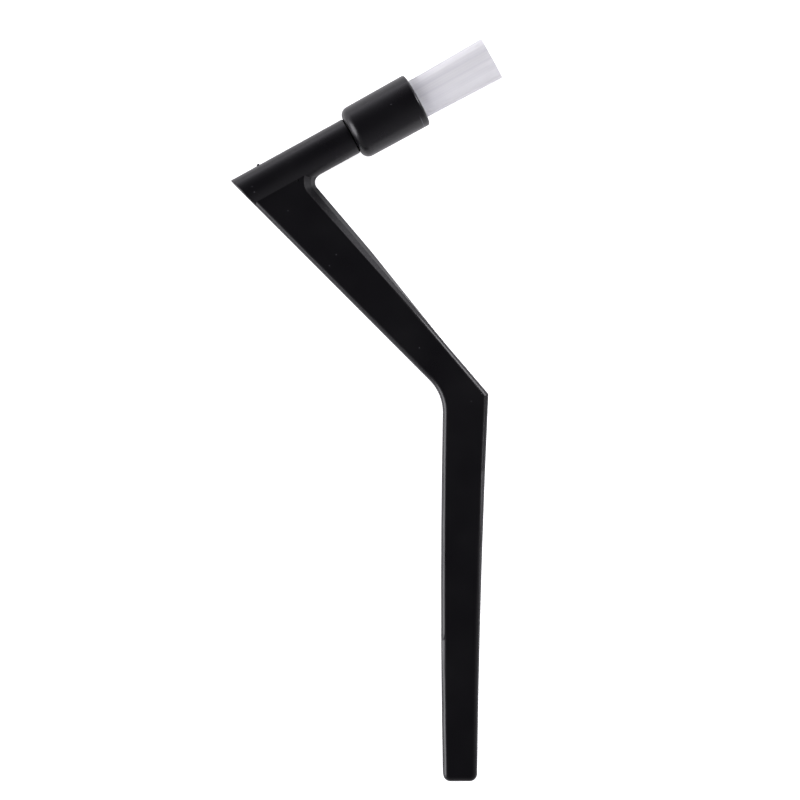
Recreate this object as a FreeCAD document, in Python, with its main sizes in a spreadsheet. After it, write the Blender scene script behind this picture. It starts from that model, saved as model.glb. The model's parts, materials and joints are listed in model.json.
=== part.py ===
import FreeCAD, Part
import os
import Sketcher

# A coffee-machine cleaning brush: one moulded handle that zigzags from a flat grip through a flat
# strut to a round stem, and a round brush head that pushes onto the end of the stem.
# The model is built about the elbow, where the stem's axis meets the strut's inner side, with the
# handle's mid-plane at z = 0. One placement then moves every body, so that the origin is at the
# bottom centre of the whole brush as it lies on its broad side.

doc = FreeCAD.newDocument("cleaning_brush")

# ---------------------------------------------------------------- driving sizes (mm and degrees)
sizes = doc.addObject("Spreadsheet::Sheet", "sizes")
SIZES = [
    ("handle_thickness", 8.0, "broad face to broad face"),
    ("edge_round", 1.5, "rounding of the edges round both broad faces"),
    ("stem_rise", 28.9, "angle of the stem and head above the x axis"),
    ("stem_radius", 5.67, "round stem at its root"),
    ("stem_end_radius", 5.62, "round stem at the head, after its draft"),
    ("stem_free_length", 19.3, "elbow to the end of the stem"),
    ("stem_root_width", 16.85, "outer side to inner side of the strut, along the stem's axis"),
    ("stem_cut_round", 0.35, "edge of the slanted cut across the stem's root"),
    ("strut_length", 88.3, "elbow to heel, along the inner side"),
    ("strut_inner_fall", 49.46, "angle of the strut's inner side below the x axis"),
    ("strut_outer_fall", 45.05, "angle of the strut's outer side below the x axis"),
    ("facet_start_width", 2.2, "45 degree facet beside the broad face, at the elbow"),
    ("facet_end_width", 0.5, "the same facet where it has run out"),
    ("facet_length", 80.0, "elbow to the facet's end"),
    ("keel_start_height", 1.25, "keel on the strut's inner side, at the elbow"),
    ("keel_middle_height", 1.15, "the same keel where it starts to run out"),
    ("keel_middle_place", 34.0, "elbow to there"),
    ("keel_end_height", 0.02, "the same keel where it has run out"),
    ("keel_length", 68.0, "elbow to the keel's end"),
    ("elbow_blend", 2.4, "hollow blend between strut and stem"),
    ("bend_radius", 13.3, "outer side of the bend from strut to grip"),
    ("heel_round", 1.0, "inner side of that bend"),
    ("grip_length", 114.25, "heel to the grip's end"),
    ("grip_lean", 3.35, "how far the grip's heel side leans in over that length"),
    ("grip_end_width", 10.0, "grip at its end"),
    ("grip_outer_bow", 2700.0, "radius of the grip's long outer side"),
    ("grip_inner_bow", 3200.0, "radius of the grip's long heel side"),
    ("grip_end_round", 2.2, "corners of the grip's end"),
    ("scoop_end_wall", 3.3, "scoop's lower end above the grip's end"),
    ("scoop_length", 40.5, "powder scoop hollowed into the grip's narrow outer side"),
    ("scoop_width", 5.4, "scoop across the handle's thickness"),
    ("scoop_depth", 4.9, "scoop into the grip's width"),
    ("scoop_end_round", 2.5, "upright corners of the scoop's two ends"),
    ("scoop_floor_round", 1.6, "edges of the scoop's floor"),
    ("gate_radius", 0.4, "vestige of the moulding gate on the stem"),
    ("gate_height", 0.35, "how far the vestige stands off the stem"),
    ("gate_place", 9.1, "elbow to vestige, back along the stem"),
    ("spigot_radius", 4.5, "spigot that carries the head"),
    ("spigot_length", 11.7, "spigot beyond the stem's end"),
    ("spigot_flats", 7.6, "across the two flats that stop the head turning"),
    ("spigot_clearance", 0.05, "running clearance all round the spigot"),
    ("spigot_end_clearance", 0.5, "spigot's end to the socket's floor"),
    ("mouth_chamfer", 0.4, "lead-in on the spigot's end, and how far the lands stand back in the socket"),
    ("land_root", 0.3, "how deep each land is rooted in the collar"),
    ("seam_chamfer", 0.3, "bevel on the stem's end that makes the seam a groove"),
    ("seam_gap", 0.1, "stem's end to the collar's rear face"),
    ("collar_length", 22.1, "brush collar"),
    ("collar_rear_radius", 8.1, "collar behind its shoulder"),
    ("collar_front_radius", 8.3, "collar at its front rim"),
    ("collar_shoulder", 2.6, "rounding of the collar's rear edge"),
    ("collar_rim_round", 0.8, "rounding of the collar's front edge"),
    ("cup_radius", 6.1, "bore that holds the bristles"),
    ("cup_depth", 8.2, "depth of that bore"),
    ("cup_round", 0.3, "rounding of that bore's mouth"),
    ("setting_depth", 2.6, "resin disc that the bristles are set in"),
    ("bristle_radius", 5.9, "bundle of bristles where it leaves the collar"),
    ("bristle_tip_radius", 6.65, "bundle at its trimmed end"),
    ("bristle_free_length", 25.5, "bristles in front of the collar"),
    ("bristle_tip_round", 1.2, "rounding of the trimmed end"),
    ("overrun", 1.0, "how far a cutter reaches past the material"),
]
for row, (alias, value, meaning) in enumerate(SIZES, start=1):
    sizes.set(f"A{row}", meaning)
    sizes.set(f"B{row}", str(value))
    sizes.setAlias(f"B{row}", alias)

# Places that follow from the sizes, as formulas in the same sheet.
FORMULAS = [
    ("root_x", "=-stem_root_width * cos(stem_rise)", "outer side of the strut on the stem's axis"),
    ("root_y", "=-stem_root_width * sin(stem_rise)", ""),
    ("heel_x", "=strut_length * cos(strut_inner_fall)", "corner where the inner sides meet"),
    ("heel_y", "=-strut_length * sin(strut_inner_fall)", ""),
    ("bend_x", "=root_x + (root_y - heel_y) / tan(strut_outer_fall)", "outer sides meet at heel_y"),
    ("end_inner_x", "=heel_x - grip_lean", "corners of the grip's end"),
    ("end_outer_x", "=end_inner_x - grip_end_width", ""),
    ("end_y", "=heel_y - grip_length", ""),
    ("half_thickness", "=handle_thickness / 2", "mid-plane to broad face"),
    (
        "keel_slope",
        "=atan((keel_start_height - keel_middle_height) / keel_middle_place) / 1 deg",
        "keel's first stretch to the side",
    ),
    ("keel_fall", "=strut_inner_fall + keel_slope", "angle of the keel below the x axis"),
    ("web_from_stem", "=stem_radius + elbow_blend", "stem's axis to the centre of the blend"),
    ("web_from_keel", "=keel_start_height * cos(keel_slope) + elbow_blend", "keel line to that centre"),
    ("web_sine", "=sin(stem_rise + keel_fall)", "of the angle between stem and keel"),
    ("web_x", "=(web_from_stem * cos(keel_fall) + web_from_keel * cos(stem_rise)) / web_sine", ""),
    ("web_y", "=(web_from_keel * sin(stem_rise) - web_from_stem * sin(keel_fall)) / web_sine", ""),
    ("web_place", "=web_x * cos(strut_inner_fall) - web_y * sin(strut_inner_fall)", "along the strut"),
    ("web_keel", "=keel_start_height - web_place * tan(keel_slope)", "keel's height there"),
    (
        "web_facet",
        "=facet_start_width - (facet_start_width - facet_end_width) * web_place / facet_length",
        "facet's width there",
    ),
    (
        "facet_lead_width",
        "=facet_start_width + (facet_start_width - facet_end_width) * overrun / facet_length",
        "facet's width where its cutter starts",
    ),
    ("collar_back", "=stem_free_length + seam_gap", "collar's rear face, along the stem's axis"),
    ("collar_front", "=collar_back + collar_length", "its front rim"),
    ("cup_floor", "=collar_front - cup_depth", "floor of the bristles' bore"),
    ("setting_front", "=cup_floor + setting_depth", "where the bristles leave the resin"),
    ("spigot_end", "=stem_free_length + spigot_length", "end of the spigot"),
    ("socket_floor", "=spigot_end + spigot_end_clearance", "floor of the collar's socket"),
    ("bristle_end", "=collar_front + bristle_free_length", "trimmed ends of the bristles"),
    (
        "socket_land_half",
        "=sqrt((spigot_radius + spigot_clearance) ^ 2 - (spigot_flats / 2 + spigot_clearance) ^ 2) + land_root",
        "half the width of each land in the socket",
    ),
    ("scoop_low", "=end_y + scoop_end_wall", "lower end of the scoop"),
    ("scoop_floor_x", "=end_outer_x + scoop_depth", "floor of the scoop"),
    ("scoop_high", "=scoop_low + scoop_length", "upper end of the scoop"),
]
for row, (alias, formula, meaning) in enumerate(FORMULAS, start=len(SIZES) + 1):
    sizes.set(f"A{row}", meaning)
    sizes.set(f"B{row}", formula)
    sizes.setAlias(f"B{row}", alias)
    doc.recompute()


def size(alias):
    return float(sizes.get(alias))


# ---------------------------------------------------------------- helpers
def new_body(label):
    body = doc.addObject("PartDesign::Body", label)
    body.Label = label
    return body


def origin_plane(body, role):
    return next(item for item in body.Origin.OriginFeatures if item.Role == role)


def new_sketch(body, name, role="XY_Plane", turn_axis=None, turn="0", base=("0", "0", "0")):
    """A sketch on one of the body's own planes, turned and shifted by expressions."""
    sketch = body.newObject("Sketcher::SketchObject", name)
    sketch.AttachmentSupport = [(origin_plane(body, role), "")]
    sketch.MapMode = "FlatFace"
    if turn_axis:
        start = FreeCAD.Rotation(turn_axis, 1)
        sketch.AttachmentOffset = FreeCAD.Placement(FreeCAD.Vector(), start)
        sketch.setExpression("AttachmentOffset.Rotation.Angle", turn)
    for axis, expression in zip("xyz", base):
        sketch.setExpression(f"AttachmentOffset.Base.{axis}", expression)
    doc.recompute()
    return sketch


def drive(sketch, kind, references, expression):
    """Add a dimension to a sketch and bind it to an expression of the sheet's cells."""
    start = number(sketch, expression)
    index = sketch.addConstraint(Sketcher.Constraint(kind, *references, start))
    sketch.setExpression(f"Constraints[{index}]", expression)


def number(sketch, expression):
    value = sketch.evalExpression(expression)
    return float(getattr(value, "Value", value))


def outline(sketch, corners, bows=None):
    """A closed outline through corners given as expressions, anticlockwise.

    bows maps a side to its arc's radius; every such side bows towards -x.
    """
    bows = bows or {}
    places = [FreeCAD.Vector(number(sketch, x), number(sketch, y), 0) for x, y in corners]
    ends = []
    for index, start in enumerate(places):
        end = places[(index + 1) % len(places)]
        side = bowed(start, end, number(sketch, bows[index])) if index in bows else None
        sketch.addGeometry(side or Part.LineSegment(start, end), False)
        # An arc always runs anticlockwise, so one that goes up has its ends the other way round.
        ends.append((2, 1) if side and end.y > start.y else (1, 2))
    for index, (x, y) in enumerate(corners):
        following = (index + 1) % len(places)
        meet = ("Coincident", index, ends[index][1], following, ends[following][0])
        sketch.addConstraint(Sketcher.Constraint(*meet))
        drive(sketch, "DistanceX", (-1, 1, index, ends[index][0]), x)
        drive(sketch, "DistanceY", (-1, 1, index, ends[index][0]), y)
    for index, radius in bows.items():
        drive(sketch, "Radius", (index,), radius)
    doc.recompute()


def bowed(start, end, radius):
    """An arc from start to end that bows towards -x, as both long sides of the grip do."""
    half_chord = (end - start).Length / 2
    bulge = radius - (radius**2 - half_chord**2) ** 0.5
    return Part.Arc(start, (start + end) / 2 + FreeCAD.Vector(-bulge, 0, 0), end)


def revolve(body, name, sketch):
    """Turn a profile once round its sketch's x axis."""
    feature = body.newObject("PartDesign::Revolution", name)
    feature.Profile = sketch
    feature.ReferenceAxis = (sketch, ["H_Axis"])
    feature.Angle = 360
    doc.recompute()
    return feature


def must_cut(feature, before):
    if feature.Shape.Volume > before - 0.01:
        raise RuntimeError(f"{feature.Name} cuts nothing")


def pocket(body, name, sketch, depth=None):
    """Cut a sketch right through on both sides, or to a depth given as an expression."""
    before = body.Tip.Shape.Volume
    feature = body.newObject("PartDesign::Pocket", name)
    feature.Profile = sketch
    if depth:
        feature.Type = "Length"
        feature.setExpression("Length", depth)
    else:
        feature.Type = "ThroughAll"
        feature.Midplane = True
    doc.recompute()
    must_cut(feature, before)
    return feature


def loft(body, name, kind, sections):
    """A ruled loft between two sketches, added to the body or cut from it."""
    feature = body.newObject(kind, name)
    feature.Profile = sections[0]
    feature.Sections = sections[1:]
    feature.Ruled = True
    doc.recompute()
    return feature


def dress(body, name, test, amount, kind="PartDesign::Fillet"):
    """Fillet or chamfer the edges of the body's tip that pass a test; amount is an expression."""
    base = body.Tip
    edges = enumerate(base.Shape.Edges, start=1)
    names = [f"Edge{index}" for index, edge in edges if test(edge)]
    if not names:
        raise RuntimeError(f"{name} finds no edge")
    feature = body.newObject(kind, name)
    feature.Base = (base, names)
    feature.setExpression("Radius" if kind.endswith("Fillet") else "Size", amount)
    doc.recompute()
    return feature


def middle_of(edge):
    return edge.valueAt((edge.FirstParameter + edge.LastParameter) / 2)


def is_ellipse(edge):
    return not edge.Degenerated and isinstance(edge.Curve, Part.Ellipse)


def near(edge, x, y, reach=0.05):
    """True for an upright edge that stands at x, y."""
    place = middle_of(edge)
    upright = len(edge.Vertexes) == 2 and abs(edge.tangentAt(edge.FirstParameter).z) > 0.99
    return upright and abs(place.x - x) < reach and abs(place.y - y) < reach


ALONG_STEM = FreeCAD.Rotation(FreeCAD.Vector(0, 0, 1), size("stem_rise")).multVec(
    FreeCAD.Vector(1, 0, 0)
)

# Frames for sketches: one lies along the stem's axis, and the other stands across the strut.
UP = FreeCAD.Vector(0, 0, 1)
ACROSS = FreeCAD.Vector(0, 1, 0)


def along_stem(body, name):
    return new_sketch(body, name, "XY_Plane", UP, "sizes.stem_rise")


def across_strut(body, name, place):
    angle = "sizes.strut_inner_fall"
    base = (f"-{place} * sin({angle})", "0", f"{place} * cos({angle})")
    return new_sketch(body, name, "YZ_Plane", ACROSS, "-" + angle, base)


# ---------------------------------------------------------------- handle
handle = new_body("handle")

# Flat slab: strut and grip in one outline, from the stem's axis down to the grip's end.
slab_sketch = new_sketch(handle, "slab_outline")
outline(
    slab_sketch,
    [
        ("0", "0"),
        ("sizes.root_x", "sizes.root_y"),
        ("sizes.bend_x", "sizes.heel_y"),
        ("sizes.end_outer_x", "sizes.end_y"),
        ("sizes.end_inner_x", "sizes.end_y"),
        ("sizes.heel_x", "sizes.heel_y"),
    ],
    bows={2: "sizes.grip_outer_bow", 4: "sizes.grip_inner_bow"},
)
slab = handle.newObject("PartDesign::Pad", "slab")
slab.Profile = slab_sketch
slab.Midplane = True
slab.setExpression("Length", "sizes.handle_thickness")
doc.recompute()

dress(handle, "bend", lambda e: near(e, size("bend_x"), size("heel_y")), "sizes.bend_radius")
dress(handle, "heel", lambda e: near(e, size("heel_x"), size("heel_y")), "sizes.heel_round")
dress(
    handle,
    "grip_end",
    lambda e: near(e, size("end_outer_x"), size("end_y")) or near(e, size("end_inner_x"), size("end_y")),
    "sizes.grip_end_round",
)


def on_broad_face(edge):
    """An edge of either broad face, except the one that the stem will cover."""
    half = size("half_thickness")
    if any(abs(abs(vertex.Z) - half) > 1e-6 for vertex in edge.Vertexes):
        return False
    place = middle_of(edge)
    stem_side = place.y * size("root_x") - place.x * size("root_y")
    return abs(stem_side) > 1e-3


dress(handle, "broad_edges", on_broad_face, "sizes.edge_round")

# Facets: on both broad faces the strut's inner edge is bevelled, widest at the elbow.
def facet_section(name, place, width):
    """A cutter's section whose slanted side carries on past both faces that it meets."""
    sketch = across_strut(handle, name, place)
    top = "sizes.half_thickness + sizes.overrun"
    foot = f"sizes.half_thickness - ({width}) - sizes.overrun"
    outline(
        sketch,
        [
            (f"-({width}) - sizes.overrun", top),
            ("sizes.overrun", foot),
            ("sizes.edge_round + sizes.overrun", foot),
            ("sizes.edge_round + sizes.overrun", top),
        ],
    )
    return sketch


before = handle.Tip.Shape.Volume
facet = loft(
    handle,
    "facet",
    "PartDesign::SubtractiveLoft",
    [
        facet_section("facet_start", "-sizes.overrun", "sizes.facet_lead_width"),
        facet_section("facet_end", "sizes.facet_length", "sizes.facet_end_width"),
    ],
)
must_cut(facet, before)
mirrored = handle.newObject("PartDesign::Mirrored", "facet_below")
mirrored.Originals = [facet]
mirrored.MirrorPlane = (origin_plane(handle, "XY_Plane"), [""])
handle.Tip = mirrored
doc.recompute()
must_cut(mirrored, facet.Shape.Volume)


# Keel: the strut's inner side rises to a ridge on the mid-plane, from the elbow to where it runs out.
def keel_section(name, place, height, facet_width):
    sketch = across_strut(handle, name, place)
    side = f"(sizes.half_thickness - ({facet_width}))"
    outline(
        sketch,
        [("-1", f"-{side}"), ("0", f"-{side}"), (height, "0"), ("0", side), ("-1", side)],
    )
    return sketch


def facet_width_at(place):
    narrowing = f"(sizes.facet_start_width - sizes.facet_end_width) * {place} / sizes.facet_length"
    return f"sizes.facet_start_width - {narrowing}"


KEEL_PLACES = [
    ("keel_start", "0", "sizes.keel_start_height"),
    ("keel_middle", "sizes.keel_middle_place", "sizes.keel_middle_height"),
    ("keel_end", "sizes.keel_length", "sizes.keel_end_height"),
]
loft(
    handle,
    "keel",
    "PartDesign::AdditiveLoft",
    [keel_section(name, place, height, facet_width_at(place)) for name, place, height in KEEL_PLACES],
)

# Stem: a round bar on its own axis, cut off at the root in line with the strut's outer side.
stem_sketch = along_stem(handle, "stem_profile")
outline(
    stem_sketch,
    [
        ("-sizes.stem_root_width - 2 * sizes.stem_radius", "0"),
        ("sizes.stem_free_length", "0"),
        ("sizes.stem_free_length", "sizes.stem_end_radius - sizes.seam_chamfer"),
        ("sizes.stem_free_length - sizes.seam_chamfer", "sizes.stem_end_radius"),
        ("-sizes.stem_root_width - 2 * sizes.stem_radius", "sizes.stem_radius"),
    ],
)
revolve(handle, "stem", stem_sketch)
cut_sketch = new_sketch(handle, "root_cut_outline", turn_axis=UP, turn="-sizes.strut_outer_fall")
ROOT_ALONG = "sizes.stem_root_width * cos(sizes.stem_rise + sizes.strut_outer_fall)"
ROOT_OFF = "-sizes.stem_root_width * sin(sizes.stem_rise + sizes.strut_outer_fall)"
outline(
    cut_sketch,
    [
        (f"-({ROOT_ALONG}) - 6 * sizes.stem_radius", f"{ROOT_OFF} - 6 * sizes.stem_radius"),
        (f"-({ROOT_ALONG}) + 3 * sizes.stem_radius", f"{ROOT_OFF} - 6 * sizes.stem_radius"),
        (f"-({ROOT_ALONG}) + 3 * sizes.stem_radius", ROOT_OFF),
        (f"-({ROOT_ALONG}) - 6 * sizes.stem_radius", ROOT_OFF),
    ],
)
pocket(handle, "root_cut", cut_sketch)

# Elbow: the strut's side, keel and facets together, turns round into the stem about an upright axis.
web_sketch = new_sketch(
    handle, "elbow_profile", "YZ_Plane", ACROSS, "sizes.stem_rise", ("sizes.web_y", "0", "sizes.web_x")
)
SIDE_HEIGHT = "(sizes.half_thickness - sizes.web_facet)"
KEEL_FOOT = "sizes.elbow_blend + sizes.web_keel"
FACE_EDGE = "sizes.elbow_blend + sizes.web_keel + sizes.web_facet"
outline(
    web_sketch,
    [
        ("sizes.elbow_blend", "0"),
        (KEEL_FOOT, f"-{SIDE_HEIGHT}"),
        (FACE_EDGE, "-sizes.half_thickness"),
        (f"{FACE_EDGE} + sizes.edge_round", "-sizes.half_thickness"),
        (f"{FACE_EDGE} + sizes.edge_round", "sizes.half_thickness"),
        (FACE_EDGE, "sizes.half_thickness"),
        (KEEL_FOOT, SIDE_HEIGHT),
    ],
)
web = handle.newObject("PartDesign::Revolution", "elbow")
web.Profile = web_sketch
web.ReferenceAxis = (web_sketch, ["V_Axis"])
web.setExpression("Angle", "180 - sizes.stem_rise - sizes.keel_fall")
doc.recompute()
dress(
    handle,
    "root_edge",
    lambda e: is_ellipse(e) and middle_of(e).x < size("root_x"),
    "sizes.stem_cut_round",
)

# Gate vestige: a stub of plastic left on the stem's outer side.
gate_sketch = along_stem(handle, "gate_profile")
GATE_TOP = "sizes.stem_radius + sizes.gate_height"
GATE_SIDES = ("-sizes.gate_place - sizes.gate_radius", "-sizes.gate_place + sizes.gate_radius")
outline(
    gate_sketch,
    [
        (GATE_SIDES[0], "sizes.stem_radius / 2"),
        (GATE_SIDES[1], "sizes.stem_radius / 2"),
        (GATE_SIDES[1], GATE_TOP),
        (GATE_SIDES[0], GATE_TOP),
    ],
)
gate = handle.newObject("PartDesign::Pad", "gate_vestige")
gate.Profile = gate_sketch
gate.Midplane = True
gate.setExpression("Length", "2 * sizes.gate_radius")
doc.recompute()

# Spigot: a smaller round bar with two flats, chamfered at its end.
spigot_sketch = along_stem(handle, "spigot_profile")
outline(
    spigot_sketch,
    [
        ("sizes.stem_free_length - 2 * sizes.mouth_chamfer", "0"),
        ("sizes.spigot_end", "0"),
        ("sizes.spigot_end", "sizes.spigot_radius - sizes.mouth_chamfer"),
        ("sizes.spigot_end - sizes.mouth_chamfer", "sizes.spigot_radius"),
        ("sizes.stem_free_length - 2 * sizes.mouth_chamfer", "sizes.spigot_radius"),
    ],
)
revolve(handle, "spigot", spigot_sketch)
FLAT = "sizes.spigot_flats / 2"
CLEAR = "sizes.spigot_radius + sizes.overrun"
for side, low, high in (("upper", FLAT, CLEAR), ("lower", f"-({CLEAR})", f"-{FLAT}")):
    flat_sketch = along_stem(handle, f"{side}_flat_outline")
    outline(
        flat_sketch,
        [
            ("sizes.stem_free_length", low),
            ("sizes.spigot_end + sizes.overrun", low),
            ("sizes.spigot_end + sizes.overrun", high),
            ("sizes.stem_free_length", high),
        ],
    )
    pocket(handle, f"{side}_flat", flat_sketch)

# Scoop: a long hollow with round ends, sunk into the grip's narrow outer side.
scoop_sketch = new_sketch(
    handle, "scoop_outline", "YZ_Plane", None, "0", ("0", "0", "sizes.scoop_floor_x")
)
outline(
    scoop_sketch,
    [
        ("sizes.scoop_low", "-sizes.scoop_width / 2"),
        ("sizes.scoop_high", "-sizes.scoop_width / 2"),
        ("sizes.scoop_high", "sizes.scoop_width / 2"),
        ("sizes.scoop_low", "sizes.scoop_width / 2"),
    ],
)
pocket(handle, "scoop", scoop_sketch, "sizes.scoop_depth + sizes.grip_lean + sizes.overrun")


def in_scoop(edge):
    """An edge of the hollow, which lies clear of the broad faces and of the grip's end."""
    place = middle_of(edge)
    inside = size("scoop_low") - 0.1 < place.y < size("scoop_high") + 0.1
    return inside and abs(place.z) < size("scoop_width") / 2 + 0.1


def scoop_corner(edge):
    return in_scoop(edge) and not edge.Degenerated and abs(edge.tangentAt(edge.FirstParameter).x) > 0.99


dress(handle, "scoop_ends", scoop_corner, "sizes.scoop_end_round")
dress(
    handle,
    "scoop_floor",
    lambda e: in_scoop(e) and abs(middle_of(e).x - size("scoop_floor_x")) < 0.01,
    "sizes.scoop_floor_round",
)

# ---------------------------------------------------------------- brush collar
collar = new_body("brush_collar")
collar_sketch = along_stem(collar, "collar_profile")
outline(
    collar_sketch,
    [
        ("sizes.collar_back", "0"),
        ("sizes.cup_floor", "0"),
        ("sizes.cup_floor", "sizes.cup_radius"),
        ("sizes.collar_front", "sizes.cup_radius"),
        ("sizes.collar_front", "sizes.collar_front_radius"),
        ("sizes.collar_back", "sizes.collar_rear_radius"),
    ],
)
revolve(collar, "collar_shell", collar_sketch)


def ring_at(place, radius):
    """A test for the round edge of a turned piece at a place along the stem and a radius."""
    centre = ALONG_STEM * size(place)

    def test(edge):
        if edge.Degenerated or not isinstance(edge.Curve, Part.Circle):
            return False
        apart = (edge.Curve.Center - centre).Length
        return apart < 0.01 and abs(edge.Curve.Radius - size(radius)) < 0.01

    return test


dress(collar, "shoulder", ring_at("collar_back", "collar_rear_radius"), "sizes.collar_shoulder")
dress(collar, "rim", ring_at("collar_front", "collar_front_radius"), "sizes.collar_rim_round")
dress(collar, "cup_mouth", ring_at("collar_front", "cup_radius"), "sizes.cup_round")

# Socket: the spigot's own section, larger by the clearance, sunk in from the rear face.
socket_sketch = along_stem(collar, "socket_profile")
outline(
    socket_sketch,
    [
        ("sizes.collar_back - sizes.overrun", "0"),
        ("sizes.socket_floor", "0"),
        ("sizes.socket_floor", "sizes.spigot_radius + sizes.spigot_clearance"),
        ("sizes.collar_back - sizes.overrun", "sizes.spigot_radius + sizes.spigot_clearance"),
    ],
)
before = collar.Tip.Shape.Volume
socket = collar.newObject("PartDesign::Groove", "socket")
socket.Profile = socket_sketch
socket.ReferenceAxis = (socket_sketch, ["H_Axis"])
socket.Angle = 360
doc.recompute()
must_cut(socket, before)


# Lands: each side of the round socket is filled up to the spigot's flat.
LAND = "sizes.spigot_flats / 2 + sizes.spigot_clearance"
ROOT = "sizes.spigot_radius + sizes.spigot_clearance + sizes.land_root"
for side, low, high in (("upper", LAND, ROOT), ("lower", f"-({ROOT})", f"-({LAND})")):
    land_sketch = along_stem(collar, f"{side}_land_outline")
    outline(
        land_sketch,
        [
            ("sizes.collar_back + sizes.mouth_chamfer", low),
            ("sizes.socket_floor + sizes.land_root", low),
            ("sizes.socket_floor + sizes.land_root", high),
            ("sizes.collar_back + sizes.mouth_chamfer", high),
        ],
    )
    land = collar.newObject("PartDesign::Pad", f"{side}_land")
    land.Profile = land_sketch
    land.Midplane = True
    land.setExpression("Length", "2 * sizes.socket_land_half")
    doc.recompute()

# ---------------------------------------------------------------- resin setting and bristles
setting = new_body("bristle_setting")
setting_sketch = along_stem(setting, "setting_profile")
outline(
    setting_sketch,
    [
        ("sizes.cup_floor", "0"),
        ("sizes.setting_front", "0"),
        ("sizes.setting_front", "sizes.cup_radius"),
        ("sizes.cup_floor", "sizes.cup_radius"),
    ],
)
revolve(setting, "resin_disc", setting_sketch)

bristles = new_body("bristle_bundle")
bristle_sketch = along_stem(bristles, "bundle_profile")
outline(
    bristle_sketch,
    [
        ("sizes.setting_front", "0"),
        ("sizes.bristle_end", "0"),
        ("sizes.bristle_end", "sizes.bristle_tip_radius"),
        ("sizes.collar_front", "sizes.bristle_radius"),
        ("sizes.setting_front", "sizes.bristle_radius"),
    ],
)
revolve(bristles, "bundle", bristle_sketch)
dress(bristles, "trimmed_end", ring_at("bristle_end", "bristle_tip_radius"), "sizes.bristle_tip_round")

# ---------------------------------------------------------------- place, check and write
BODIES = [handle, collar, setting, bristles]
whole = Part.makeCompound([body.Shape for body in BODIES]).optimalBoundingBox(False, False)
shift = FreeCAD.Vector(-whole.Center.x, -whole.Center.y, -whole.ZMin)
for body in BODIES:
    body.Placement = FreeCAD.Placement(shift, FreeCAD.Rotation())
doc.recompute()

for item in doc.Objects:
    if "Invalid" in item.State or "Error" in item.State:
        raise RuntimeError(f"{item.Name} failed: {item.State}")
for body in BODIES:
    shape = body.Shape
    if shape.isNull() or not shape.isValid() or len(shape.Solids) != 1:
        raise RuntimeError(f"{body.Label} is not one valid solid")

os.makedirs("parts", exist_ok=True)
for body in BODIES:
    body.Shape.exportStep(f"parts/{body.Label}.step")
    print(body.Label, round(body.Shape.Volume, 1), "mm3")
print("seam centre", ALONG_STEM * size("stem_free_length") + shift, "along", ALONG_STEM)
print("size", round(whole.XLength, 3), round(whole.YLength, 3), round(whole.ZLength, 3))
print("shift", shift)
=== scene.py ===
# %% [markdown]
# # An angled cleaning brush for coffee machines
#
# The real brush is a Z-shaped bar moulded in black ABS: a flat grip, a slanted strut and a short
# round stem. A round collar is pushed onto the stem, and a dense bundle of white nylon filaments
# is glued into the collar's cup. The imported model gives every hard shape, so this script adds
# what a solid can't show: the filaments one by one, the moulded and drawn finishes, the table
# and the light.

import json
import math

import bpy
import numpy as np
from mathutils import Matrix, Vector


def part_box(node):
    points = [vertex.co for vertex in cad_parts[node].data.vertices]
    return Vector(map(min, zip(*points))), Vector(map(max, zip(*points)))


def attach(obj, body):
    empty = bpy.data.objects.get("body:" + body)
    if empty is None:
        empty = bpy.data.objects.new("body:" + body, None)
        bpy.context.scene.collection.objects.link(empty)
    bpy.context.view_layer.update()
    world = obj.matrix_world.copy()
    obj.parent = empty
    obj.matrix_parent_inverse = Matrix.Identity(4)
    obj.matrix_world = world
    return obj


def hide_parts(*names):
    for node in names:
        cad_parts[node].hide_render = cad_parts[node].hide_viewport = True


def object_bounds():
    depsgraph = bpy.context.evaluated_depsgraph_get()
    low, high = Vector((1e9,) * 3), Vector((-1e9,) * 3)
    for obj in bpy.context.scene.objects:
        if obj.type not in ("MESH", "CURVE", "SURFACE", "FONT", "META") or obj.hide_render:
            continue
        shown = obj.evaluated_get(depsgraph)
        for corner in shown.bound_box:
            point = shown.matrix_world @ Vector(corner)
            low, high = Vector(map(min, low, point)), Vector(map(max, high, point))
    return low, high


MM = 0.001

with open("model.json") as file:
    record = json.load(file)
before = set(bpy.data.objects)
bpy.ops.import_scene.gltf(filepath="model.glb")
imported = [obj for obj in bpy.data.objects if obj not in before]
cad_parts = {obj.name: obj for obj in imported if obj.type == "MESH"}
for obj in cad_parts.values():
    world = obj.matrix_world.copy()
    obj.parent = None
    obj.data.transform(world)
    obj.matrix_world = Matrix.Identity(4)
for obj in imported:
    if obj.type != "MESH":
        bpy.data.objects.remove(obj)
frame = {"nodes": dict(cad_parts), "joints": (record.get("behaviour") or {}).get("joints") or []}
cad_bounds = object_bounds()
nodes = frame["nodes"]
print("pieces:", sorted(nodes))

# %% [markdown]
# ## Where things are
#
# The collar slides off along the stem, so the joint's axis is also the line that the collar and
# the filaments stand round. The setting is a plain disc, and the middle of a disc's box is the
# middle of the disc, so it gives a point on that line. Every other place along the brush head is
# a distance from there, read from the pieces' own vertices, and nothing has to be typed in twice.

# %% The brush head's axis
head_axis = Vector(frame["joints"][0]["axis"]).normalized()
behind = Vector((0, 0, 1)).cross(head_axis)  # level, square to the axis, away from the elbow's hollow
setting_low, setting_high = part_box("bristle_setting")
setting_middle = (setting_low + setting_high) / 2


def vertices_of(node):
    """A node's vertices in metres, one row each."""
    places = np.empty(len(nodes[node].data.vertices) * 3)
    nodes[node].data.vertices.foreach_get("co", places)
    return places.reshape(-1, 3)


def along_and_out(node):
    """How far each vertex is along the head's axis from the setting's middle, and out from the axis."""
    from_middle = vertices_of(node) - np.array(setting_middle)
    along = from_middle @ np.array(head_axis)
    out = np.linalg.norm(from_middle - np.outer(along, head_axis), axis=1)
    return along, out


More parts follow.
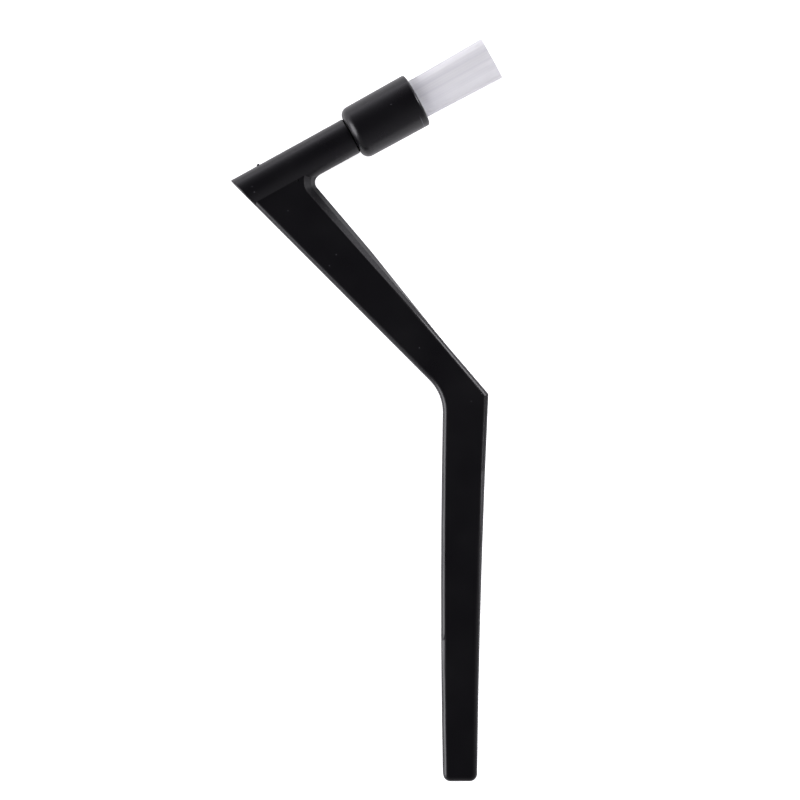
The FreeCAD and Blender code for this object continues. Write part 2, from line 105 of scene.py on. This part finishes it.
setting_face = along_and_out("bristle_setting")[0].max()
collar_along, collar_out = along_and_out("brush_collar")
collar_rim = collar_along.max()
collar_radius = collar_out.max()
bundle_along, bundle_out = along_and_out("bristle_bundle")
bundle_tip = bundle_along.max()
bundle_root_radius = bundle_out[bundle_along < setting_face + 1 * MM].max()
bundle_tip_radius = bundle_out.max()
print("filaments stand", round((bundle_tip - collar_rim) / MM, 1), "mm out of the collar")
print("bundle radius", round(bundle_root_radius / MM, 2), "to", round(bundle_tip_radius / MM, 2), "mm")

# %% [markdown]
# ## Helpers for colours and nodes
#
# Paint and plastic samples are read as sRGB hex values, and shaders work in linear light, so one
# function converts them. A second small function adds any node, sets it and wires it, for
# materials and for geometry alike. A value that is a socket is linked, and any other is typed in.

# %% Colour and node helpers
def linear(hex_colour):
    """An sRGB hex colour as the linear RGBA that sockets take."""
    channels = [int(hex_colour[i : i + 2], 16) / 255 for i in (1, 3, 5)]
    return [c / 12.92 if c <= 0.04045 else ((c + 0.055) / 1.055) ** 2.4 for c in channels] + [1.0]


def add_node(tree, kind, settings=None, inputs=None):
    """Adds a node, sets its properties, and links or sets its inputs."""
    node = tree.nodes.new(kind)
    for name, value in (settings or {}).items():
        setattr(node, name, value)
    for key, value in (inputs or {}).items():
        if isinstance(value, bpy.types.NodeSocket):
            tree.links.new(value, node.inputs[key])
        else:
            node.inputs[key].default_value = value
    return node


def new_material(name, colour):
    """A material with one Principled shader of this colour, and the shader."""
    material = bpy.data.materials.new(name)
    material.use_nodes = True
    material.diffuse_color = linear(colour)
    shader = material.node_tree.nodes["Principled BSDF"]
    shader.inputs["Base Color"].default_value = linear(colour)
    return material, shader


def wear(node, material):
    """Gives a CAD node this material and no other."""
    nodes[node].data.materials.clear()
    nodes[node].data.materials.append(material)


# %% [markdown]
# ## Black ABS, moulded in a finely eroded tool
#
# The handle and the collar are black ABS. The mould was spark-eroded, so the skin is satin and
# not glossy: highlights are soft, and the flat faces go nearly black under a dark ceiling. Three
# things make it look moulded: a very fine pebble in the bump, a slow change of gloss over some
# centimetres, where the melt cooled unevenly, and a few specks of dust, which black plastic
# always draws. A texture on the plain colour alone would look printed on.

# %% The ABS material
ABS_COLOUR = "#0a090c"
DUST_COLOUR = "#5c5c60"
PEBBLE_MM = 0.35  # the real erosion is nearer 0.1 mm, too fine to show, so it is drawn coarser
PEBBLE_DEPTH_MM = 0.0035
GLOSS_PATCH_MM = 14.0
DUST_SPACING_MM = 4.6
DUST_SIZE_MM = 0.16
ABS_ROUGHNESS = (0.27, 0.33)
ABS_IOR = 1.5


def moulded_abs(name):
    """Satin black ABS with a fine pebble, patches of gloss and specks of dust."""
    material, shader = new_material(name, ABS_COLOUR)
    tree = material.node_tree
    place = add_node(tree, "ShaderNodeTexCoord").outputs["Object"]
    pebble = add_node(
        tree,
        "ShaderNodeTexNoise",
        inputs={"Vector": place, "Scale": 1 / (PEBBLE_MM * MM), "Detail": 3.0, "Roughness": 0.6},
    )
    patches = add_node(
        tree,
        "ShaderNodeTexNoise",
        inputs={"Vector": place, "Scale": 1 / (GLOSS_PATCH_MM * MM), "Detail": 2.0},
    )
    gloss = add_node(
        tree,
        "ShaderNodeMapRange",
        inputs={
            "Value": patches.outputs["Fac"],
            "From Min": 0.3,
            "From Max": 0.7,
            "To Min": ABS_ROUGHNESS[0],
            "To Max": ABS_ROUGHNESS[1],
        },
    )
    dust_cells = add_node(
        tree,
        "ShaderNodeTexVoronoi",
        inputs={"Vector": place, "Scale": 1 / (DUST_SPACING_MM * MM)},
    )
    dust = add_node(
        tree,
        "ShaderNodeMapRange",
        inputs={
            "Value": dust_cells.outputs["Distance"],
            "From Min": DUST_SIZE_MM / DUST_SPACING_MM,
            "From Max": 0.5 * DUST_SIZE_MM / DUST_SPACING_MM,
        },
    )
    colour = add_node(
        tree,
        "ShaderNodeMix",
        {"data_type": "RGBA"},
        {"Factor": dust.outputs["Result"], "A": linear(ABS_COLOUR), "B": linear(DUST_COLOUR)},
    )
    bump = add_node(
        tree,
        "ShaderNodeBump",
        inputs={"Height": pebble.outputs["Fac"], "Strength": 0.6, "Distance": PEBBLE_DEPTH_MM * MM},
    )
    tree.links.new(colour.outputs["Result"], shader.inputs["Base Color"])
    tree.links.new(gloss.outputs["Result"], shader.inputs["Roughness"])
    tree.links.new(bump.outputs["Normal"], shader.inputs["Normal"])
    shader.inputs["IOR"].default_value = ABS_IOR
    return material


handle_abs = moulded_abs("moulded_black_abs_handle")
collar_abs = moulded_abs("moulded_black_abs_collar")
wear("handle", handle_abs)
wear("brush_collar", collar_abs)
print("ABS:", handle_abs.name, collar_abs.name)

# %% [markdown]
# ## Witness line on the collar
#
# Where two parts of the collar's mould met, they left a faint line about 2 mm behind the rim. It
# stands out by a few hundredths of a millimetre at most and shows only on one side, so a painted
# highlight, a paler band in the plastic's own nodes, draws it, and the collar's shape stays as it is.

# %% Add the witness line as a painted highlight
LINE_BEHIND_RIM = 2.1 * MM
LINE_HALF_WIDTH = 0.12 * MM
# painted highlight: this paler colour stands in for light caught by the mould line
LINE_GLINT_COLOUR = "#4a4a52"
LINE_FADE = (-0.6, -0.8)  # share of the collar's radius, towards its near side


def add_witness_line(material):
    """A painted highlight: a thin paler arc behind the collar's rim, on the side away from `behind`."""
    tree = material.node_tree
    shader = tree.nodes["Principled BSDF"]
    place = add_node(tree, "ShaderNodeTexCoord").outputs["Object"]
    from_middle = add_node(
        tree, "ShaderNodeVectorMath", {"operation": "SUBTRACT"}, {0: place, 1: setting_middle}
    ).outputs[0]
    along = add_node(
        tree, "ShaderNodeVectorMath", {"operation": "DOT_PRODUCT"}, {0: from_middle, 1: head_axis}
    ).outputs["Value"]
    off = add_node(
        tree, "ShaderNodeMath", {"operation": "SUBTRACT"}, {0: along, 1: collar_rim - LINE_BEHIND_RIM}
    ).outputs[0]
    apart = add_node(tree, "ShaderNodeMath", {"operation": "ABSOLUTE"}, {0: off}).outputs[0]
    line = add_node(
        tree,
        "ShaderNodeMapRange",
        inputs={"Value": apart, "From Min": LINE_HALF_WIDTH, "From Max": 0.4 * LINE_HALF_WIDTH},
    ).outputs["Result"]
    sideways = add_node(
        tree, "ShaderNodeVectorMath", {"operation": "DOT_PRODUCT"}, {0: from_middle, 1: behind}
    ).outputs["Value"]
    fade_from, fade_to = (share * collar_radius for share in LINE_FADE)
    near_side = add_node(
        tree,
        "ShaderNodeMapRange",
        inputs={"Value": sideways, "From Min": fade_from, "From Max": fade_to},
    ).outputs["Result"]
    line = add_node(
        tree, "ShaderNodeMath", {"operation": "MULTIPLY"}, {0: line, 1: near_side}
    ).outputs[0]
    # the painted highlight is mixed into the plastic's own colour
    old_colour = shader.inputs["Base Color"].links[0].from_socket
    line_glinted = add_node(
        tree,
        "ShaderNodeMix",
        {"data_type": "RGBA"},
        {"Factor": line, "A": old_colour, "B": linear(LINE_GLINT_COLOUR)},
    )
    tree.links.new(line_glinted.outputs["Result"], shader.inputs["Base Color"])


add_witness_line(collar_abs)
print("witness line", round(LINE_BEHIND_RIM / MM, 1), "mm behind the rim")

# %% [markdown]
# ## Cast epoxy round the filaments' roots
#
# The setting is epoxy, poured into the cup round the filaments and left to harden. It is amber,
# clear and glossy, and only a thin ring of it shows between the filaments and the cup.

# %% The epoxy material
EPOXY_COLOUR = "#c9bd9c"
EPOXY_RIPPLE_MM = 1.2
EPOXY_RIPPLE_DEPTH_MM = 0.05
EPOXY_ROUGHNESS = 0.15
EPOXY_IOR = 1.55
EPOXY_CLEARNESS = 0.3


def cast_epoxy():
    """Glossy amber resin with a slightly rippled skin."""
    material, shader = new_material("cast_amber_epoxy", EPOXY_COLOUR)
    tree = material.node_tree
    place = add_node(tree, "ShaderNodeTexCoord").outputs["Object"]
    ripple = add_node(
        tree, "ShaderNodeTexNoise", inputs={"Vector": place, "Scale": 1 / (EPOXY_RIPPLE_MM * MM)}
    )
    bump = add_node(
        tree,
        "ShaderNodeBump",
        inputs={
            "Height": ripple.outputs["Fac"],
            "Strength": 0.5,
            "Distance": EPOXY_RIPPLE_DEPTH_MM * MM,
        },
    )
    tree.links.new(bump.outputs["Normal"], shader.inputs["Normal"])
    shader.inputs["Roughness"].default_value = EPOXY_ROUGHNESS
    shader.inputs["IOR"].default_value = EPOXY_IOR
    shader.inputs["Transmission Weight"].default_value = EPOXY_CLEARNESS
    return material


wear("bristle_setting", cast_epoxy())

# %% [markdown]
# ## Drawn nylon filaments
#
# The bristles are white nylon monofilament, drawn through a die, so each one is smooth, round and
# milky: light goes some way in and comes out of its neighbours. That makes the bundle bright all
# round and a little darker between the strands. The shade leans to blue, as optical brightener
# does. It changes from strand to strand and from tuft to tuft, and it is painted darkest at the
# roots, a painted shade for where the strands stand closest and least light gets in.

# %% The nylon material
NYLON_COLOUR = "#fefefe"
NYLON_SHADE_COLOUR = "#e6e6ea"
NYLON_ROUGHNESS = 0.35
NYLON_IOR = 1.53
NYLON_CLEARNESS = 0.1


def drawn_nylon():
    """Milky white filament whose shade follows each strand's own number, with painted shade at the
    roots.
    """
    material, shader = new_material("drawn_white_nylon", NYLON_COLOUR)
    tree = material.node_tree
    strand_shade = add_node(tree, "ShaderNodeAttribute", {"attribute_name": "strand_shade"})
    colour = add_node(
        tree,
        "ShaderNodeMix",
        {"data_type": "RGBA"},
        {
            "Factor": strand_shade.outputs["Fac"],
            "A": linear(NYLON_COLOUR),
            "B": linear(NYLON_SHADE_COLOUR),
        },
    )
    tree.links.new(colour.outputs["Result"], shader.inputs["Base Color"])
    shader.inputs["Roughness"].default_value = NYLON_ROUGHNESS
    shader.inputs["IOR"].default_value = NYLON_IOR
    shader.inputs["Transmission Weight"].default_value = NYLON_CLEARNESS
    return material


nylon = drawn_nylon()

# %% [markdown]
# ## The filaments
#
# About three thousand filaments are packed side by side in the cup, splay a little towards their
# tips, and are trimmed flat. They could be hair particles, but those don't leave the scene as a
# mesh. Geometry Nodes suit them: one short curve is put on every root, its points are moved to
# their own line, and a five-sided tube is run along it. Roots on a sunflower spiral fill a disc
# evenly with no rows showing, and a little random shift hides the spiral. Neighbours lean the
# same way, as a slow noise tells them, so the bundle parts into soft tufts. The tree is built
# upright at the origin, so its sizes stay simple, and the mesh is turned into the collar after.

# %% A tree that packs filaments into a bundle
FILAMENT_SIZES = {
    "Count": ("NodeSocketInt", 3000),
    "Root Radius": ("NodeSocketFloat", bundle_root_radius),
    "Tip Radius": ("NodeSocketFloat", bundle_tip_radius),
    "Length": ("NodeSocketFloat", bundle_tip - setting_face),
    "Filament Radius": ("NodeSocketFloat", 0.1 * MM),
    "Shift": ("NodeSocketFloat", 0.06 * MM),
    "Bend": ("NodeSocketFloat", 0.2 * MM),
    "Clump Size": ("NodeSocketFloat", 1.6 * MM),
    "Clump Pull": ("NodeSocketFloat", 0.9 * MM),
    "Trim Error": ("NodeSocketFloat", 0.25 * MM),
    "Tip Dome": ("NodeSocketFloat", 0.1 * MM),
    "Upper Trim": ("NodeSocketFloat", 0.85 * MM),
    "Seed": ("NodeSocketInt", 7),
}
SUNFLOWER_ANGLE = math.pi * (3 - math.sqrt(5))
TUBE_SIDES = 5
CURVE_POINTS = 5
SLACK_POWER = 6.0  # how suddenly a strand's freedom ends at the bundle's outside
DOME_POWER = 4.0  # how suddenly the trimmed end rounds off there
TUFT_NOISE_RANGE = (0.35, 0.65)
TUFT_SHARE = 0.5  # of a strand's shade, against its own random part
# painted shade: the roots are drawn darker between these heights, by this share
ROOT_SHADE_HEIGHTS = (0.18, 0.5)  # shares of the length between which the roots' shade fades
ROOT_SHADE_SHARE = 0.4


def filament_tree():
    """Geometry Nodes that make an upright bundle of tubes with its roots at height 0."""
    tree = bpy.data.node_groups.new("filament_bundle", "GeometryNodeTree")
    tree.interface.new_socket("Geometry", in_out="OUTPUT", socket_type="NodeSocketGeometry")
    for name, (kind, value) in FILAMENT_SIZES.items():
        socket = tree.interface.new_socket(name, in_out="INPUT", socket_type=kind)
        socket.default_value = value
    size = add_node(tree, "NodeGroupInput").outputs

    def math_node(operation, *values):
        inputs = dict(enumerate(values))
        return add_node(tree, "ShaderNodeMath", {"operation": operation}, inputs).outputs[0]

    def times(first, *others):
        for other in others:
            first = math_node("MULTIPLY", first, other)
        return first

    def random(low, high, salt):
        seed = math_node("ADD", size["Seed"], salt)
        return add_node(
            tree,
            "FunctionNodeRandomValue",
            {"data_type": "FLOAT"},
            {"Min": low, "Max": high, "ID": strand, "Seed": seed},
        ).outputs["Value"]

    roots = add_node(tree, "GeometryNodePoints", inputs={"Count": size["Count"]})
    numbered = add_node(
        tree,
        "GeometryNodeStoreNamedAttribute",
        {"data_type": "INT", "domain": "POINT"},
        {
            "Geometry": roots.outputs[0],
            "Name": "strand",
            "Value": add_node(tree, "GeometryNodeInputIndex").outputs[0],
        },
    )
    line = add_node(tree, "GeometryNodeCurvePrimitiveLine", inputs={"End": (0, 0, 1)})
    strand_line = add_node(
        tree, "GeometryNodeResampleCurve", inputs={"Curve": line.outputs[0], "Count": CURVE_POINTS}
    )
    placed = add_node(
        tree,
        "GeometryNodeInstanceOnPoints",
        inputs={"Points": numbered.outputs[0], "Instance": strand_line.outputs[0]},
    )
    curves = add_node(tree, "GeometryNodeRealizeInstances", inputs={0: placed.outputs[0]})
    strand = add_node(
        tree, "GeometryNodeInputNamedAttribute", {"data_type": "INT"}, {"Name": "strand"}
    ).outputs["Attribute"]
    up = add_node(tree, "GeometryNodeSplineParameter").outputs["Factor"]

    # the root's place in a unit disc
    share = math_node("DIVIDE", math_node("ADD", strand, 0.5), size["Count"])
    out = math_node("SQRT", share)
    turn = math_node("MULTIPLY", strand, SUNFLOWER_ANGLE)
    # its distance out grows from root to tip
    spread = add_node(
        tree,
        "ShaderNodeMapRange",
        inputs={"Value": up, "To Min": size["Root Radius"], "To Max": size["Tip Radius"]},
    ).outputs["Result"]
    inside = math_node("SUBTRACT", spread, size["Filament Radius"])
    radius = math_node("MULTIPLY", out, inside)
    # each strand is shifted a little, and bends more towards its tip
    bend_growth = math_node("MULTIPLY", up, up)
    slack = math_node("SUBTRACT", 1.0, math_node("POWER", out, SLACK_POWER))

    # strands near one another lean the same way, so the bundle parts into soft tufts
    root_spot = add_node(
        tree,
        "ShaderNodeCombineXYZ",
        inputs={
            "X": times(out, size["Root Radius"], math_node("COSINE", turn)),
            "Y": times(out, size["Root Radius"], math_node("SINE", turn)),
        },
    )
    tufts = add_node(
        tree,
        "ShaderNodeTexNoise",
        inputs={
            "Vector": root_spot.outputs[0],
            "Scale": math_node("DIVIDE", 1.0, size["Clump Size"]),
            "Detail": 1.0,
        },
    )
    tuft_shade = tufts.outputs["Fac"]
    tuft_lean = add_node(tree, "ShaderNodeSeparateXYZ", inputs={0: tufts.outputs["Color"]}).outputs

    def sideways(trig, salt, lean):
        place = math_node("MULTIPLY", radius, math_node(trig, turn))
        shift = math_node("MULTIPLY", random(-1.0, 1.0, salt), size["Shift"])
        bend = times(random(-1.0, 1.0, salt + 1), size["Bend"], bend_growth)
        loose = math_node("MULTIPLY", math_node("ADD", shift, bend), slack)
        pull = math_node("MULTIPLY", math_node("SUBTRACT", lean, 0.5), size["Clump Pull"])
        tuft = times(pull, bend_growth, slack)
        return math_node("ADD", math_node("ADD", place, loose), tuft)

    dome = math_node("MULTIPLY", math_node("POWER", out, DOME_POWER), size["Tip Dome"])
    short = math_node("MULTIPLY", random(0.0, 1.0, 5), size["Trim Error"])
    # the upper strands, on the tree's +Y side, are cut a little shorter
    upper = math_node("MAXIMUM", math_node("MULTIPLY", out, math_node("SINE", turn)), 0.0)
    upper_cut = math_node("MULTIPLY", upper, size["Upper Trim"])
    cut = math_node("ADD", math_node("ADD", dome, short), upper_cut)
    own_length = math_node("SUBTRACT", size["Length"], cut)
    height = math_node("MULTIPLY", up, own_length)
    position = add_node(
        tree,
        "ShaderNodeCombineXYZ",
        inputs={
            "X": sideways("COSINE", 1, tuft_lean[0]),
            "Y": sideways("SINE", 3, tuft_lean[1]),
            "Z": height,
        },
    )
    set_place = add_node(
        tree,
        "GeometryNodeSetPosition",
        inputs={"Geometry": curves.outputs[0], "Position": position.outputs[0]},
    )
    tuft_part = add_node(
        tree,
        "ShaderNodeMapRange",
        inputs={
            "Value": tuft_shade,
            "From Min": TUFT_NOISE_RANGE[0],
            "From Max": TUFT_NOISE_RANGE[1],
        },
    ).outputs["Result"]
    own_part = times(random(0.0, 1.0, 6), 1.0 - TUFT_SHARE)
    upper_shade = math_node("ADD", own_part, times(tuft_part, TUFT_SHARE))
    # painted shade: strands are drawn darker towards their roots, where little light gets in
    root_painted_shade = add_node(
        tree,
        "ShaderNodeMapRange",
        inputs={
            "Value": up,
            "From Min": ROOT_SHADE_HEIGHTS[0],
            "From Max": ROOT_SHADE_HEIGHTS[1],
            "To Min": 1.0,
            "To Max": 0.0,
        },
    ).outputs["Result"]
    whole_shade = math_node(
        "ADD", times(upper_shade, 1.0 - ROOT_SHADE_SHARE), times(root_painted_shade, ROOT_SHADE_SHARE)
    )
    shade = add_node(
        tree,
        "GeometryNodeStoreNamedAttribute",
        {"data_type": "FLOAT", "domain": "POINT"},
        {
            "Geometry": set_place.outputs[0],
            "Name": "strand_shade",
            "Value": whole_shade,
        },
    )
    ring = add_node(
        tree,
        "GeometryNodeCurvePrimitiveCircle",
        inputs={"Resolution": TUBE_SIDES, "Radius": size["Filament Radius"]},
    )
    tubes = add_node(
        tree,
        "GeometryNodeCurveToMesh",
        inputs={"Curve": shade.outputs[0], "Profile Curve": ring.outputs[0], "Fill Caps": True},
    )
    smooth = add_node(tree, "GeometryNodeSetShadeSmooth", inputs={"Geometry": tubes.outputs[0]})
    real = add_node(tree, "GeometryNodeRealizeInstances", inputs={0: smooth.outputs[0]})
    coated = add_node(
        tree, "GeometryNodeSetMaterial", inputs={"Geometry": real.outputs[0], "Material": nylon}
    )
    add_node(tree, "NodeGroupOutput", inputs={0: coated.outputs[0]})
    return tree


bundle_tree = filament_tree()
print("tree nodes:", len(bundle_tree.nodes))

# %% Make the bundle and turn it into the collar
filament_host = bpy.data.objects.new("filament_host", bpy.data.meshes.new("filament_host"))
bpy.context.scene.collection.objects.link(filament_host)
packing = filament_host.modifiers.new("packing", "NODES")
packing.node_group = bundle_tree
for socket in bundle_tree.interface.items_tree:
    if socket.in_out == "INPUT":
        packing[socket.identifier] = FILAMENT_SIZES[socket.name][1]

depsgraph = bpy.context.evaluated_depsgraph_get()
filament_mesh = bpy.data.meshes.new_from_object(filament_host.evaluated_get(depsgraph))
filament_host.modifiers.clear()
bpy.data.objects.remove(filament_host)

root_place = setting_middle + head_axis * setting_face
upright_to_axis = head_axis.to_track_quat("Z", "Y").to_matrix().to_4x4()
filament_mesh.transform(Matrix.Translation(root_place) @ upright_to_axis)
bristles = bpy.data.objects.new("bristle_filaments", filament_mesh)
bpy.context.scene.collection.objects.link(bristles)
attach(bristles, "brush_head")
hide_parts("bristle_bundle")
filament_mesh.calc_loop_triangles()
print("filament triangles:", len(filament_mesh.loop_triangles))

# %% [markdown]
# ## The table
#
# A brush laid down rests on the collar's rim and on the back edge of the grip's far end, because
# the collar is thicker than the bar. The table is a plane through those two points, so the brush
# lies on it as a real one does. The table is lit from below, so it is pure white and lights the
# nylon from underneath. The plastic would mirror it too strongly, because the real table is lit
# only round the brush and not to its far edges, so the glow is weaker in a mirrored ray.

# %% A plane under the collar and the grip's end
TABLE_HALF = 4.0
TABLE_COLOUR = "#f4f4f4"
TABLE_ROUGHNESS = 0.6
END_STRETCH_MM = 3.0
TABLE_GLOW = 0.9
MIRRORED_GLOW = 0.15

collar_points = vertices_of("brush_collar")
handle_points = vertices_of("handle")
collar_foot = collar_points[collar_points[:, 2].argmin()]
grip_end_y = handle_points[:, 1].min()
near_grip_end = handle_points[handle_points[:, 1] < grip_end_y + END_STRETCH_MM * MM]
grip_foot = near_grip_end[near_grip_end[:, 2].argmin()]
table_slope = (grip_foot[2] - collar_foot[2]) / (grip_foot[1] - collar_foot[1])


def table_height(y):
    """The table's height under a point this far along the brush."""
    return collar_foot[2] + table_slope * (y - collar_foot[1])


signs = [(-1, -1), (1, -1), (1, 1), (-1, 1)]
corners = [(x * TABLE_HALF, y * TABLE_HALF, table_height(y * TABLE_HALF)) for x, y in signs]
table_mesh = bpy.data.meshes.new("table_top")
table_mesh.from_pydata(corners, [], [(0, 1, 2, 3)])
table = bpy.data.objects.new("table_top", table_mesh)
bpy.context.scene.collection.objects.link(table)
table_paint, table_shader = new_material("white_acrylic_table", TABLE_COLOUR)
table_shader.inputs["Roughness"].default_value = TABLE_ROUGHNESS
table_shader.inputs["Emission Color"].default_value = linear("#ffffff")
mirrored = add_node(table_paint.node_tree, "ShaderNodeLightPath").outputs["Is Glossy Ray"]
glow = add_node(
    table_paint.node_tree,
    "ShaderNodeMapRange",
    inputs={"Value": mirrored, "To Min": TABLE_GLOW, "To Max": MIRRORED_GLOW},
)
table_paint.node_tree.links.new(glow.outputs["Result"], table_shader.inputs["Emission Strength"])
table_mesh.materials.append(table_paint)
print("table tilt:", round(math.degrees(math.atan(table_slope)), 2), "degrees")

# %% [markdown]
# ## Light
#
# A white tent stands round the table under a dark ceiling. Black plastic shows mostly what it
# mirrors, so the flat faces mirror the ceiling and go dark, and the rounded edges mirror the tent
# and shine. The tent is the world's colour. Behind the brush it is bright low down and fades
# quickly with height, and in front it is dimmer and fades slowly, so one side of the round stem
# gets a narrow bright edge and the other a broad dull one. The front lights the matt nylon more
# than the plastic mirrors of it. Two soft boxes stand inside the tent: one low on the left for
# the bar's long edge, and one past the bristles to light them lengthwise.

# %% The tent
# each pair is the sine of the height above the table, and the brightness there
TENT_BEHIND = ((0.0, 2.0), (0.1, 1.6), (0.22, 1.1), (0.36, 0.6), (0.52, 0.25), (0.9, 0.015))
TENT_IN_FRONT = ((0.0, 0.32), (0.34, 0.33), (0.56, 0.26), (0.75, 0.2), (0.9, 0.1), (1.0, 0.015))
TENT_TINT = (0.94, 0.91, 1.0)
SIDE_BLEND = 0.4  # how far to either side of the head's axis the two sides of the tent mix
FRONT_GAIN = 2.2  # the front's light on matt things, over what the plastic mirrors of it

world = bpy.data.worlds.new("light_tent")
bpy.context.scene.world = world
world.use_nodes = True
tent = world.node_tree
direction = add_node(tent, "ShaderNodeTexCoord").outputs["Generated"]
height = add_node(tent, "ShaderNodeSeparateXYZ", inputs={0: direction}).outputs["Z"]


def tent_side(stops):
    """One side of the tent as a colour ramp over height."""
    node = add_node(tent, "ShaderNodeValToRGB", inputs={"Fac": height})
    ramp = node.color_ramp
    while len(ramp.elements) < len(stops):
        ramp.elements.new(0.5)
    for element, (place, brightness) in zip(ramp.elements, stops):
        element.position = place
        element.color = [brightness * tint for tint in TENT_TINT] + [1.0]
    return node.outputs["Color"]


to_behind = add_node(
    tent, "ShaderNodeVectorMath", {"operation": "DOT_PRODUCT"}, {0: direction, 1: behind}
).outputs["Value"]
round_the_side = add_node(
    tent,
    "ShaderNodeMapRange",
    inputs={"Value": to_behind, "From Min": -SIDE_BLEND, "From Max": SIDE_BLEND},
).outputs["Result"]
diffuse = add_node(tent, "ShaderNodeLightPath").outputs["Is Diffuse Ray"]
front_gain = add_node(
    tent, "ShaderNodeMapRange", inputs={"Value": diffuse, "To Min": 1.0, "To Max": FRONT_GAIN}
).outputs["Result"]
front = add_node(
    tent,
    "ShaderNodeVectorMath",
    {"operation": "SCALE"},
    {0: tent_side(TENT_IN_FRONT), "Scale": front_gain},
).outputs[0]
both_sides = add_node(
    tent,
    "ShaderNodeMix",
    {"data_type": "RGBA"},
    {"Factor": round_the_side, "A": front, "B": tent_side(TENT_BEHIND)},
)
tent.links.new(both_sides.outputs["Result"], tent.nodes["Background"].inputs["Color"])

# %% The soft boxes
BOX_DISTANCE = 0.9
BOX_TINT = (0.97, 0.96, 1.0)
bound_middle = (cad_bounds[0] + cad_bounds[1]) / 2


def soft_box(name, flat_direction, elevation, width, brightness):
    """A round lamp of this width that faces the brush; its power follows from its brightness."""
    flat = Vector((flat_direction[0], flat_direction[1], 0)).normalized()
    raised = math.radians(elevation)
    towards = flat * math.cos(raised) + Vector((0, 0, math.sin(raised)))
    lamp = bpy.data.lights.new(name, "AREA")
    lamp.shape = "DISK"
    lamp.size = width
    lamp.energy = brightness * math.pi * math.pi * (width / 2) ** 2
    lamp.color = BOX_TINT
    box = bpy.data.objects.new(name, lamp)
    box.location = bound_middle + towards * BOX_DISTANCE
    box.rotation_mode = "QUATERNION"
    box.rotation_quaternion = towards.to_track_quat("Z", "Y")
    bpy.context.scene.collection.objects.link(box)
    print(name, "power", round(lamp.energy, 2), "W")


soft_box("left_box", (-1, -0.2), elevation=24, width=0.75, brightness=5.0)
soft_box("bristle_box", head_axis, elevation=38, width=0.5, brightness=8.8)

# %% [markdown]
# ## Camera
#
# The camera stands straight above the brush, with a long lens, so the sides hardly show. It is
# shifted a little off the brush's middle, as the brush lies in its view.

# %% Look straight down
CAMERA_HEIGHT = 0.7
CAMERA_OFFSET = Vector((9.93, 2.915, 0.0)) * MM
FIELD_WIDTH = 0.2368
SENSOR_MM = 36.0

camera_data = bpy.data.cameras.new("camera")
camera_data.sensor_width = SENSOR_MM
camera_data.lens = SENSOR_MM * CAMERA_HEIGHT / FIELD_WIDTH
camera_data.clip_start = 0.01
camera_data.clip_end = 50.0
camera = bpy.data.objects.new("camera", camera_data)
camera.location = bound_middle + CAMERA_OFFSET + Vector((0, 0, CAMERA_HEIGHT))
bpy.context.scene.collection.objects.link(camera)
bpy.context.scene.camera = camera
bpy.context.scene.view_settings.view_transform = "Standard"
print("lens:", round(camera_data.lens, 1), "mm")
